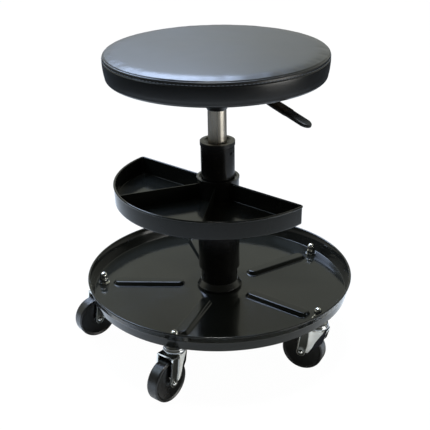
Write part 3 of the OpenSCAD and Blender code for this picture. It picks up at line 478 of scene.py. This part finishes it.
def makeCushion():
    shape = bmesh.new()
    rings = [(r, crownHeight(r)) for r in cushion["topRings"]] + arcPoints(cushion["shoulder"])
    seamTop = len(rings)
    rings += cushion["band"]
    seamLow = len(rings) - 1
    rings += cushion["side"] + arcPoints(cushion["edge"])
    hem = len(rings) - cushion["hemRings"]
    rings += cushion["pocket"]
    rim = discGrid(shape, crownHeight, cushion["cells"], cushion["discRadius"])
    turns = [math.atan2(v.co.y, v.co.x) for v in rim]
    pinned = []
    for n, (r, z) in enumerate(rings):
        ring = addRing(shape, turns, r, z)
        bridge(shape, [rim, ring])
        if n in (seamTop, seamLow) or n >= hem:
            pinned += ring
        rim = ring
    low = discGrid(shape, lambda r: cushion["pocket"][-1][1], cushion["cells"], cushion["discRadius"])
    bridge(shape, [rim, low])
    boardRadius, boardTop = cushion["boardSize"]
    pinned += [v for v in shape.verts if v.co.z < boardTop * mm and v.co.xy.length < boardRadius * mm]
    bmesh.ops.recalc_face_normals(shape, faces=shape.faces)
    shape.verts.index_update()
    held = sorted({v.index for v in pinned})
    piece = objectFrom(shape, "seatCushion", ["coatedVinyl"])
    swell(piece, held)
    crease(piece.data)
    smooth = piece.modifiers.new("smooth", "SUBSURF")
    smooth.levels = smooth.render_levels = 1
    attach(piece, "seat")
    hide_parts("seat_cushion")


def swell(piece, held):
    # The foam presses the cover out between its seams: the pad starts smaller and swells back to size
    points = piece.data.vertices
    rest = [v.co.copy() for v in points]
    cap, still = cushion["swell"] * mm, set(held)
    for v in points:
        inside = cushion["swellInside"] * mm - v.co.xy.length
        if v.index not in still and v.co.z > cushion["swellAbove"] * mm and inside > 0:
            v.co.z -= cap * min(1, inside / (cushion["swellEase"] * mm))
    start = [v.co.copy() for v in points]
    group = piece.vertex_groups.new(name="seams")
    group.add(held, 1.0, "REPLACE")
    cloth = piece.modifiers.new("cover", "CLOTH")
    for name, value in cushion["cloth"].items():
        setattr(cloth.settings, name, value)
    cloth.settings.effector_weights.gravity = 0
    cloth.settings.vertex_group_mass = "seams"
    cloth.collision_settings.use_collision = False
    cloth.point_cache.frame_start, cloth.point_cache.frame_end = 1, cushion["frames"]
    for step in range(1, cushion["frames"] + 1):
        scene.frame_set(step)
    view = bpy.context.evaluated_depsgraph_get()
    puffed = [v.co.copy() for v in piece.evaluated_get(view).data.vertices]
    piece.modifiers.remove(cloth)
    scene.frame_set(1)
    for v, full, old, new in zip(points, rest, start, puffed):
        move = new - old
        if move.length > cap:
            move = move * (cap / move.length)
        v.co = old + move
        v.co = full.lerp(v.co, cushion["settle"])  # the vinyl is stiff: it takes up a part of the folds
    piece.vertex_groups.clear()
    most = max((v.co - full).length for v, full in zip(points, rest))
    print("cushion swelled by", round(most / mm, 2), "mm")


def crease(mesh):
    # Slack in the cover: shallow ripples at the shoulder and down the side, the most on the right
    shoulder, side = creases["shoulder"], creases["side"]
    for v in mesh.vertices:
        r, z = v.co.xy.length / mm, v.co.z / mm
        if r < creases["fromRadius"] or z < creases["fromHeight"]:
            continue
        if z > shoulder["above"]:
            way = Vector((0, 0, 1))
            near = math.exp(-((r - shoulder["radius"]) / shoulder["spread"]) ** 2)
        elif z < side["below"]:
            way = Vector((v.co.x, v.co.y, 0)).normalized()
            near = side["share"] * math.exp(-((z - side["height"]) / side["spread"]) ** 2)
        else:
            continue
        turn = math.atan2(v.co.y, v.co.x)
        near *= creases["even"] + (1 - creases["even"]) * max(0, math.cos(turn - creases["mostAt"]))
        wave = sum(share * noise.noise(Vector((math.cos(turn) * count, math.sin(turn) * count, z * climb)))
                   for share, count, climb in creases["waves"])
        v.co += way * (creases["depth"] * mm * near * wave)


makeCushion()
print("seat cushion is made")


def makeRingGroup():  # any item, repeated round the column's axis or a part of it
    group = bpy.data.node_groups.new("ringRepeat", "GeometryNodeTree")
    keys = {}
    for name, kind in (("Item", "Object"), ("Count", "Int"), ("Radius", "Float"), ("Height", "Float"),
                       ("First Turn", "Float"), ("Wander", "Float"), ("Seed", "Int"), ("Finish", "Material")):
        socket = group.interface.new_socket(name=name, in_out="INPUT", socket_type="NodeSocket" + kind)
        keys[name] = socket.identifier
    group.interface.new_socket(name="Geometry", in_out="OUTPUT", socket_type="NodeSocketGeometry")
    given = addNode(group, "NodeGroupInput").outputs
    circle = addNode(group, "GeometryNodeMeshCircle", {"Vertices": given["Count"], "Radius": given["Radius"]})
    lift = addNode(group, "ShaderNodeCombineXYZ", {"Z": given["Height"]}).outputs[0]
    start = addNode(group, "ShaderNodeCombineXYZ", {"Z": given["First Turn"]}).outputs[0]
    placed = addNode(group, "GeometryNodeTransform",
                     {"Geometry": circle.outputs["Mesh"], "Translation": lift, "Rotation": start}).outputs[0]
    spot = addNode(group, "GeometryNodeInputPosition").outputs[0]
    outward = addNode(group, "ShaderNodeVectorMath", {0: spot, 1: (1, 1, 0)}, operation="MULTIPLY").outputs[0]
    facing = addNode(group, "FunctionNodeAlignRotationToVector", {"Vector": outward}, axis="X").outputs[0]
    least = addNode(group, "ShaderNodeMath", {0: given["Wander"], 1: -1}, operation="MULTIPLY").outputs[0]
    chance = addNode(group, "FunctionNodeRandomValue",
                     {"Seed": given["Seed"], 2: least, 3: given["Wander"]}, data_type="FLOAT").outputs[1]
    tilt = addNode(group, "ShaderNodeCombineXYZ", {"X": chance}).outputs[0]
    turned = addNode(group, "FunctionNodeRotateRotation", {"Rotation": facing, "Rotate By": tilt},
                     rotation_space="LOCAL").outputs[0]
    item = addNode(group, "GeometryNodeObjectInfo", {"Object": given["Item"]}).outputs["Geometry"]
    copies = addNode(group, "GeometryNodeInstanceOnPoints",
                     {"Points": placed, "Instance": item, "Rotation": turned}).outputs[0]
    solid = addNode(group, "GeometryNodeRealizeInstances", {"Geometry": copies}).outputs[0]
    dressed = addNode(group, "GeometryNodeSetMaterial",
                      {"Geometry": solid, "Material": given["Finish"]}).outputs[0]
    addNode(group, "NodeGroupOutput", {"Geometry": dressed})
    return group, keys


ringGroup, ringKeys = makeRingGroup()


def repeatInRing(name, shape, finishName, sharp=None, **settings):
    item = objectFrom(shape, name + "Blank")
    piece = newObject(name, bpy.data.meshes.new(name + "Points"), smooth=False)
    rule = piece.modifiers.new("ring", "NODES")
    rule.node_group = ringGroup
    values = {"Item": item, "Finish": finish[finishName], "Seed": 4, "Wander": 0.0, **settings}
    for key, value in values.items():
        rule[ringKeys[key]] = value
    view = bpy.context.evaluated_depsgraph_get()
    made = bpy.data.meshes.new_from_object(piece.evaluated_get(view))
    piece.modifiers.remove(rule)
    piece.data = made
    bpy.data.objects.remove(item)
    made.shade_smooth()
    if sharp:
        made.set_sharp_from_angle(angle=math.radians(sharp))
    return piece


# The cover's lower seam: the thread shows between its holes and is bedded at both ends
stitch = {"count": 177, "radius": 163.35, "height": 456.45, "length": 3.9, "width": 0.75, "rise": 0.35,
          "bed": 0.35, "wander": 0.03, "sides": (8, 6)}


def makeStitches():
    shape = bmesh.new()
    around, along = stitch["sides"]
    bmesh.ops.create_uvsphere(shape, u_segments=around, v_segments=along, radius=1)
    for v in shape.verts:
        dip = stitch["bed"] * abs(v.co.y) ** 2
        v.co = Vector(((v.co.x - dip) * stitch["rise"], v.co.y * stitch["length"] / 2,
                       v.co.z * stitch["width"] / 2)) * mm
    piece = repeatInRing("coverStitches", shape, "seamThread", Count=stitch["count"],
                         Wander=stitch["wander"], Radius=stitch["radius"] * mm,
                         Height=stitch["height"] * mm)
    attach(piece, "seat")


makeStitches()
print("stitches are sewn")


# Five casters on one circle, with each fork's heading in the photograph
casters = {"count": 5, "circle": 184.59, "firstTurn": 177.05, "headings": [215, 230, 154, 205, 230]}
casterRing = {"Count": casters["count"], "Radius": casters["circle"] * mm,
              "First Turn": math.radians(casters["firstTurn"])}
domeNut = {
    "base": 86.6, "flats": 13, "hexHeight": 7.5, "neck": 5.7, "neckHeight": 4, "dome": 5.9, "around": 48,
    # Heights up the hexagon with the radius that the chamfer cuts its corners to, then the neck and dome
    "chamfer": [(0, 6.9), (0.45, 7.4), (4.7, 7.6), (5.4, 7.2), (6.1, 6.75), (6.8, 6.3), (7.5, 5.85)],
    "neckRings": (7.75, 9.5), "underDome": 0.4, "domeAngles": (4, 16, 30, 44, 58, 72, 84), "sharp": 32,
}


def makeDomeNuts():
    shape = bmesh.new()
    spec, turns = domeNut, turnsOf(domeNut["around"])

    def hexagon(t):
        return spec["flats"] / 2 / math.cos(t % (math.pi / 3) - math.pi / 6)

    top = spec["hexHeight"] + spec["neckHeight"]
    rings = [addRing(shape, turns, lambda t: min(hexagon(t), cut), z) for z, cut in spec["chamfer"]]
    rings += [addRing(shape, turns, spec["neck"], z) for z in (*spec["neckRings"], top - spec["underDome"])]
    for a in map(math.radians, spec["domeAngles"]):
        rings.append(addRing(shape, turns, spec["dome"] * math.cos(a), top + spec["dome"] * math.sin(a)))
    bridge(shape, rings)
    shape.faces.new(rings[-1])
    shape.faces.new(list(reversed(rings[0])))
    bmesh.ops.recalc_face_normals(shape, faces=shape.faces)
    piece = repeatInRing("domeNuts", shape, "nutChrome", spec["sharp"], Height=spec["base"] * mm,
                         **casterRing)
    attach(piece, "base")
    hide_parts("caster_nuts")


makeDomeNuts()
print("dome nuts are on")


swivelCup = {
    "around": 64, "sharp": 50,
    # Rivet head, kingpin, the cup's inside and lip, its rounded back, and the stem up through the tray
    "profile": [(0, 65.95), (6.8, 65.95), (7.2, 66.3), (7.2, 68.5), (6.9, 68.9), (4, 68.9), (4, 80.45),
                (15.4, 80.45), (15.5, 80.3), (15.5, 74.3), (15.8, 74.02), (16.6, 74.02), (16.95, 74.35),
                (17, 75.1), (16.75, 76.2), (16.1, 77.6), (15.1, 79.2), (13.9, 80.9), (12.9, 82.3),
                (12.2, 83.1), (11.6, 83.45), (4, 83.47), (4, 96), (0, 96)],
}


def makeCups():
    shape = bmesh.new()
    lathe(shape, swivelCup["profile"], swivelCup["around"])
    piece = repeatInRing("swivelCups", shape, "cupZinc", swivelCup["sharp"], Height=0.0, **casterRing)
    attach(piece, "base")
    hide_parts("caster_stems")


fork = {
    "width": 30.7, "sheet": 2.5, "top": 71.5, "fold": 1.8, "axle": (20, 31.75), "tip": 7, "sharp": 36,
    # The fork's finishes by part: chrome, a painted highlight on the gusset, painted shade on the flange and
    # in the arm's recess
    "finishes": ["forkChrome", "gussetPaintedHighlight", "flangePaintedShade", "recessPaintedShade"],
    # Edges of a leg from the top down: its front, the folds before and behind the gusset, and its rear
    "front": [(71.5, 21), (32.75, 26.5)], "frontSlope": 2,
    "armFold": [(71.5, 6.5), (45, 9.5), (31.75, 13)],
    "rearFold": [(71.5, -14), (66, -10.5), (52, -1.5), (41.5, 3), (33.5, 8.5), (31.05, 10.9)],
    "rear": [(71.5, -17), (65.9, -16), (52, -11.9), (42.1, -3.4), (31.05, 10.9)],
    # The leg bends in behind the arm: how far, and over what length; the lean also grows with height
    "turnIn": (1.6, 20), "lean": (3.2, 7), "leanFrom": 38, "leanOver": 32, "flange": (2.2, 3.5),
    # The arm's pressed recess: the rib round it, its depth and slope, what stays flat at the top, the tip
    # and the axle, and the shares of the arm that get the recess's painted shade
    "rib": 1.3, "dip": 1.0, "dipSlope": 0.9, "dipTop": 3.5, "dipTip": 2, "boss": 4.9, "recess": (0.1, 0.88),
    # Rows up the leg, round the fold and in over the top, then shares across the arm, gusset and flange
    "tipAngles": (-88, -76, -62, -48, -34, -20, -8),
    "rows": (33, 34.5, 36.5, 39, 42.1, 45, 48.5, 52, 56, 60, 63.5, 65.9, 67, 68, 69, 69.6),
    "foldAngles": (8, 24, 42, 60, 78), "topShares": (0.87, 0.6, 0.3),
    "shares": [(0, 0.02, 0.05, 0.085, 0.11, 0.14, 0.2, 0.35, 0.5, 0.65, 0.8, 0.86, 0.89, 0.915, 0.95, 0.98,
                1), (0.06, 0.16, 0.3, 0.5, 0.7, 0.88, 1), (0.08, 0.18, 0.3, 0.45, 0.65, 0.85, 1)],
    # Race ring on the fork's top face, inside the cup
    "race": [(4.4, 71.3), (14.9, 71.3), (15.0, 71.6), (15.0, 76.6), (14.6, 77.1), (13.9, 77.2), (13.4, 76.9),
             (13.2, 76.2), (11.5, 73), (4.4, 73)],
    "raceAround": 64, "weld": 0.012,
}


def between(table, z):  # a value read from rows of (height, value), from the top down
    for (high, first), (low, second) in zip(table, table[1:]):
        if z >= low:
            return first + (second - first) * (high - z) / (high - low)
    return table[-1][1]


def forkSpan(z):  # the front edge of a leg, its two folds and its rear edge at one height
    (ax, az), tip = fork["axle"], fork["tip"]
    half = math.sqrt(max(0.01, tip ** 2 - min(0, z - az) ** 2))  # the tip is never quite a point
    if z <= az:
        return ax + half, ax - half, ax - half, ax - half
    front = min(between(fork["front"], z), ax + half + (z - az) * fork["frontSlope"])
    arm = between(fork["armFold"], z)
    behind = min(between(fork["rearFold"], z), arm)
    return front, arm, behind, min(between(fork["rear"], z), behind)


def forkPoint(column, station):  # a point on the outer face, and the one under it inside the sheet
    y, z, inY, inZ, onLeg = station
    part, share = column
    span = forkSpan(z)
    front, arm, behind = span[:3]
    x = span[part] + (span[part + 1] - span[part]) * share
    (turnIn, turnOver), (lean, leanReach), (flange, flangeOver) = fork["turnIn"], fork["lean"], fork["flange"]
    climb = unit((z - fork["leanFrom"]) / fork["leanOver"])
    inward = turnIn * unit((arm - x) / turnOver) + lean * climb * unit((arm - x) / leanReach)
    inward += flange * eased((behind - x) / flangeOver)
    y *= 1 - inward / (fork["width"] / 2)
    if onLeg and part == 0:
        (ax, az), tip = fork["axle"], fork["tip"]
        fromAxle = math.hypot(x - ax, z - az)
        edge = min(front - x, x - arm, fork["top"] - fork["dipTop"] - z)
        if z < az + fork["dipTip"]:
            edge = min(edge, tip - fromAxle)
        dip = fork["dip"] * eased((edge - fork["rib"]) / fork["dipSlope"]) * unit(fromAxle - fork["boss"])
        y -= math.copysign(dip, y)
    thick = fork["sheet"]
    return Vector((x, y, z)), Vector((x, y + inY * thick, z + inZ * thick))


def makeFork(number):  # a sheet swept from one leg's tip over the top to the other, then its race ring
    half, top, fold = fork["width"] / 2, fork["top"], fork["fold"]
    az, tip = fork["axle"][1], fork["tip"]
    rows = [az + tip * math.sin(math.radians(a)) for a in fork["tipAngles"]] + [az, *fork["rows"]]
    stations = [(half, z, -1, 0, True) for z in rows]
    for a in map(math.radians, fork["foldAngles"]):
        c, s = math.cos(a), math.sin(a)
        stations.append((half - fold + fold * c, top - fold + fold * s, -c, -s, False))
    stations += [(half * share, top, 0, -1, False) for share in fork["topShares"]]
    stations += [(-y, z, -inY, inZ, onLeg) for y, z, inY, inZ, onLeg in reversed(stations)]
    columns = [(part, share) for part, shares in enumerate(fork["shares"]) for share in shares]
    shape = bmesh.new()
    grids = ([], [])
    for station in stations:
        points = [forkPoint(column, station) for column in columns]
        for side in (0, 1):
            grids[side].append([shape.verts.new(p[side] * mm) for p in points])
    first, last = fork["recess"]
    paintedShadeSlot = fork["finishes"].index("recessPaintedShade")
    rims = []
    for grid in grids:
        for low, high in zip(grid, grid[1:]):
            for k in range(len(low) - 1):
                face = shape.faces.new([low[k], low[k + 1], high[k + 1], high[k]])
                part, share = columns[k]
                # faces in the arm's recess take its painted shade; gusset and flange take their painted
                # highlight and shade
                inRecess = part == 0 and first < share < last
                face.material_index = paintedShadeSlot if inRecess else columns[k + 1][0]
        rims.append([row[0] for row in grid] + grid[-1][1:-1] + [row[-1] for row in reversed(grid)] +
                    list(reversed(grid[0][1:-1])))
    bridge(shape, rims)
    bmesh.ops.remove_doubles(shape, verts=shape.verts, dist=fork["weld"] * mm)
    rings = [addRing(shape, turnsOf(fork["raceAround"]), r, z) for r, z in fork["race"]]
    bridge(shape, rings + rings[:1])
    bmesh.ops.recalc_face_normals(shape, faces=shape.faces)
    dressCaster(shape, "casterFork", number, "caster_fork", fork["finishes"], fork["sharp"])


axleBolt = {"head": [(0, 3.4), (1.0, 3.25), (1.9, 2.85), (2.7, 2.15), (3.2, 1.3), (3.45, 0.4), (3.45, 0)],
            "radius": 3, "around": 24, "sharp": 50}


def makeAxle(number):
    shape = bmesh.new()
    reach, radius = fork["width"] / 2, axleBolt["radius"]
    head = [(r, reach + z) for r, z in axleBolt["head"]]
    profile = head + [(radius, reach), (radius, -reach)] + [(r, -z) for r, z in reversed(head)]
    lathe(shape, profile, axleBolt["around"])
    x, z = fork["axle"]
    shape.transform(Matrix.Translation((x * mm, 0, z * mm)) @ Matrix.Rotation(math.radians(90), 4, "X"))
    dressCaster(shape, "axleBolt", number, "caster_axle", ["nutChrome"], axleBolt["sharp"])


def dressCaster(shape, name, number, node, finishNames, sharp):
    # Set a part in its caster's place, on the fork's body
    turn = math.radians(casters["firstTurn"] + 360 / casters["count"] * (number - 1))
    radius = casters["circle"] * mm
    place = Matrix.Translation((radius * math.cos(turn), radius * math.sin(turn), 0))
    shape.transform(place @ Matrix.Rotation(math.radians(casters["headings"][number - 1]), 4, "Z"))
    piece = objectFrom(shape, name + str(number), finishNames)
    piece.data.set_sharp_from_angle(angle=math.radians(sharp))
    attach(piece, "fork_" + str(number))
    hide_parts(node + "_" + str(number))


makeCups()
for number in range(1, casters["count"] + 1):
    makeFork(number)
    makeAxle(number)
print("casters are dressed")


lowerTray = {
    "z": 83.5, "sheet": 1.5, "around": 240, "floorEdge": 189, "lean": 13,
    "filletAt": 196.76, "fillet": 3, "filletAngles": (-90, -78, -64, -50, -36, -24),
    "outerWall": [(202.6, 14.5), (204.74, 23.86)], "innerWall": [(203.2, 24.19), (201.1, 14.5)],
    "rim": (204.3, 25.5, 1.7), "rimAngles": (-75, 230), "rimSteps": 14,
    "beads": 5, "firstBead": 177.05, "beadFrom": 66, "beadTo": 157.8, "beadSheet": 0.9, "endSteps": 12,
    # Half width and height of the pressed beads, from the floor up over a rounded foot and shoulder
    "bead": [(12.7, 0), (12.0, 0.06), (11.4, 0.3), (10.9, 0.8), (10.4, 1.5), (9.6, 2.75), (8.8, 4.0),
             (8.4, 4.6), (7.9, 5.1), (7.2, 5.4), (6.3, 5.5), (5.0, 5.5)],
}


def stadium(shape, half, z, turn):  # a loop round one bead, with round ends
    points = []
    steps = lowerTray["endSteps"]
    for end, first in ((lowerTray["beadTo"], -90), (lowerTray["beadFrom"], 90)):
        for k in range(steps + 1):
            a = math.radians(first + 180 / steps * k)
            points.append((end + half * math.cos(a), half * math.sin(a)))
    c, d = math.cos(turn), math.sin(turn)
    return [shape.verts.new(((x * c - y * d) * mm, (x * d + y * c) * mm, z * mm)) for x, y in points]


def loopEdges(shape, loop):
    return [shape.edges.get((a, b)) or shape.edges.new((a, b)) for a, b in zip(loop, loop[1:] + loop[:1])]


def makeLowerTray():
    shape = bmesh.new()
    spec = lowerTray
    base, sheet, edge = spec["z"], spec["sheet"], spec["floorEdge"]
    bends = (*spec["filletAngles"], -spec["lean"])
    steps = spec["rimSteps"]
    first, last = spec["rimAngles"]

    def fillet(radius, angles):
        return arcPoints({"centre": (spec["filletAt"], spec["fillet"]), "radius": radius, "angles": angles})

    rimR, rimZ, rimSize = spec["rim"]
    curl = arcPoints({"centre": (rimR, rimZ), "radius": rimSize,
                      "angles": [first + (last - first) * k / steps for k in range(steps + 1)]})
    section = [(edge, 0)] + fillet(spec["fillet"], bends) + spec["outerWall"] + curl
    section += spec["innerWall"] + fillet(spec["fillet"] - sheet, bends[::-1]) + [(edge, sheet)]
    rings = [addRing(shape, turnsOf(spec["around"]), r, base + z) for r, z in section]
    bridge(shape, rings)
    upper, lower = loopEdges(shape, rings[-1]), loopEdges(shape, rings[0])
    for k in range(spec["beads"]):
        turn = math.radians(spec["firstBead"] + 360 / spec["beads"] * k)
        for thin, floorAt, edges in ((0, base + sheet, upper), (spec["beadSheet"], base, lower)):
            loops = [stadium(shape, half - thin, floorAt + rise, turn) for half, rise in spec["bead"]]
            bridge(shape, loops)
            shape.faces.new(loops[-1])
            edges += loopEdges(shape, loops[0])
    for edges in (upper, lower):
        bmesh.ops.triangle_fill(shape, use_beauty=True, edges=edges, normal=(0, 0, 1))
    bmesh.ops.recalc_face_normals(shape, faces=shape.faces)
    piece = objectFrom(shape, "lowerTray", ["trayEnamel"])
    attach(piece, "base")
    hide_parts("lower_tray")


makeLowerTray()
print("lower tray is pressed")


# The lever's grip, along the bar from its bend: a wide part, a step, a narrower thumb rest and the tip
paddle = {
    "turn": -50, "bend": 107, "height": 411.79, "slope": 13, "shift": 1.7,
    "start": -12, "step": 42, "end": 83, "taper": 12.5, "wide": 9.4, "narrow": 8.3, "thick": 3.5,
    "around": 28, "square": 3.4,
    "startRings": [(0, 0.86), (0.5, 0.96), (1.4, 1)], "gripRings": (-5, 0, 10, 20, 30),
    "stepRings": (-3, -2, -1, 0, 1, 3, 8, 14, 21), "tipAngles": (8, 18, 30, 42, 54, 66, 76, 84),
    # The step's length, how thin the tip and the inner end are, and the thumb rest's dish
    "stepFrom": -2, "stepOver": 3, "tipThin": 0.45, "innerThin": 0.62, "thinFrom": -2, "thinOver": 13,
    "dish": 0.5, "dishOver": 6,
}


def makePaddle():
    spec, step = paddle, paddle["step"]
    tipAt = spec["end"] - spec["taper"]
    stations = [(spec["start"] + x, share) for x, share in spec["startRings"]]
    stations += [(x, 1) for x in spec["gripRings"]] + [(step + x, 1) for x in spec["stepRings"]]
    for a in map(math.radians, spec["tipAngles"]):
        stations.append((tipAt + spec["taper"] * math.sin(a), math.cos(a)))
    shape = bmesh.new()
    loops = []
    for x, share in stations:
        narrowing = (spec["narrow"] - spec["wide"]) * eased((x - step - spec["stepFrom"]) / spec["stepOver"])
        half = (spec["wide"] + narrowing) * share
        high = spec["thick"] * (1 if x < tipAt else spec["tipThin"] + (1 - spec["tipThin"]) * share)
        inner = unit((x - spec["thinFrom"]) / spec["thinOver"])
        high *= spec["innerThin"] + (1 - spec["innerThin"]) * inner
        sink = min(0, x) * math.tan(math.radians(spec["slope"]))  # level along the bar, before its bend
        loop = []
        for t in turnsOf(spec["around"]):
            c, d = math.cos(t), math.sin(t)
            y = half * math.copysign(abs(c) ** (2 / spec["square"]), c)
            z = high * math.copysign(abs(d) ** (2 / spec["square"]), d)
            if z > 0 and x > step:
                z -= spec["dish"] * (1 - (y / half) ** 2) * min(1, (x - step) / spec["dishOver"])
            loop.append(shape.verts.new((x * mm, y * mm, (z + sink) * mm)))
        loops.append(loop)
    bridge(shape, loops)
    shape.faces.new(loops[-1])
    shape.faces.new(loops[0])
    bmesh.ops.recalc_face_normals(shape, faces=shape.faces)
    along = Matrix.Translation((spec["bend"] * mm, spec["shift"] * mm, spec["height"] * mm))
    shape.transform(Matrix.Rotation(math.radians(spec["turn"]), 4, "Z") @ along @
                    Matrix.Rotation(math.radians(spec["slope"]), 4, "Y"))
    piece = objectFrom(shape, "leverPaddle", ["leverNylon"])
    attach(piece, "lever")
    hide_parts("lever_grip")


makePaddle()
print("lever paddle is moulded")


# Width in millimetres and steps of the broken edges on the CAD's own parts
edgeBreaks = {
    "sharperThan": 38,
    "on": {"caster_washers": (0.3, 2), "caster_wheel": (0.5, 2), "mid_tray_sleeve": (0.5, 2),
           "mid_tray_divider": (0.5, 3), "guide_bush": (0.6, 3), "cylinder_socket": (0.5, 2),
           "height_lever": (0.6, 2), "mechanism_housing": (0.8, 2), "mount_plate": (0.5, 2)},
}
for start, (width, segments) in edgeBreaks["on"].items():
    for node in nodesNamed(start):
        bevel = node.modifiers.new("brokenEdge", "BEVEL")
        bevel.width, bevel.segments = width * mm, segments
        bevel.limit_method, bevel.angle_limit = "ANGLE", math.radians(edgeBreaks["sharperThan"])
        bevel.use_clamp_overlap = True
print("edges are broken")
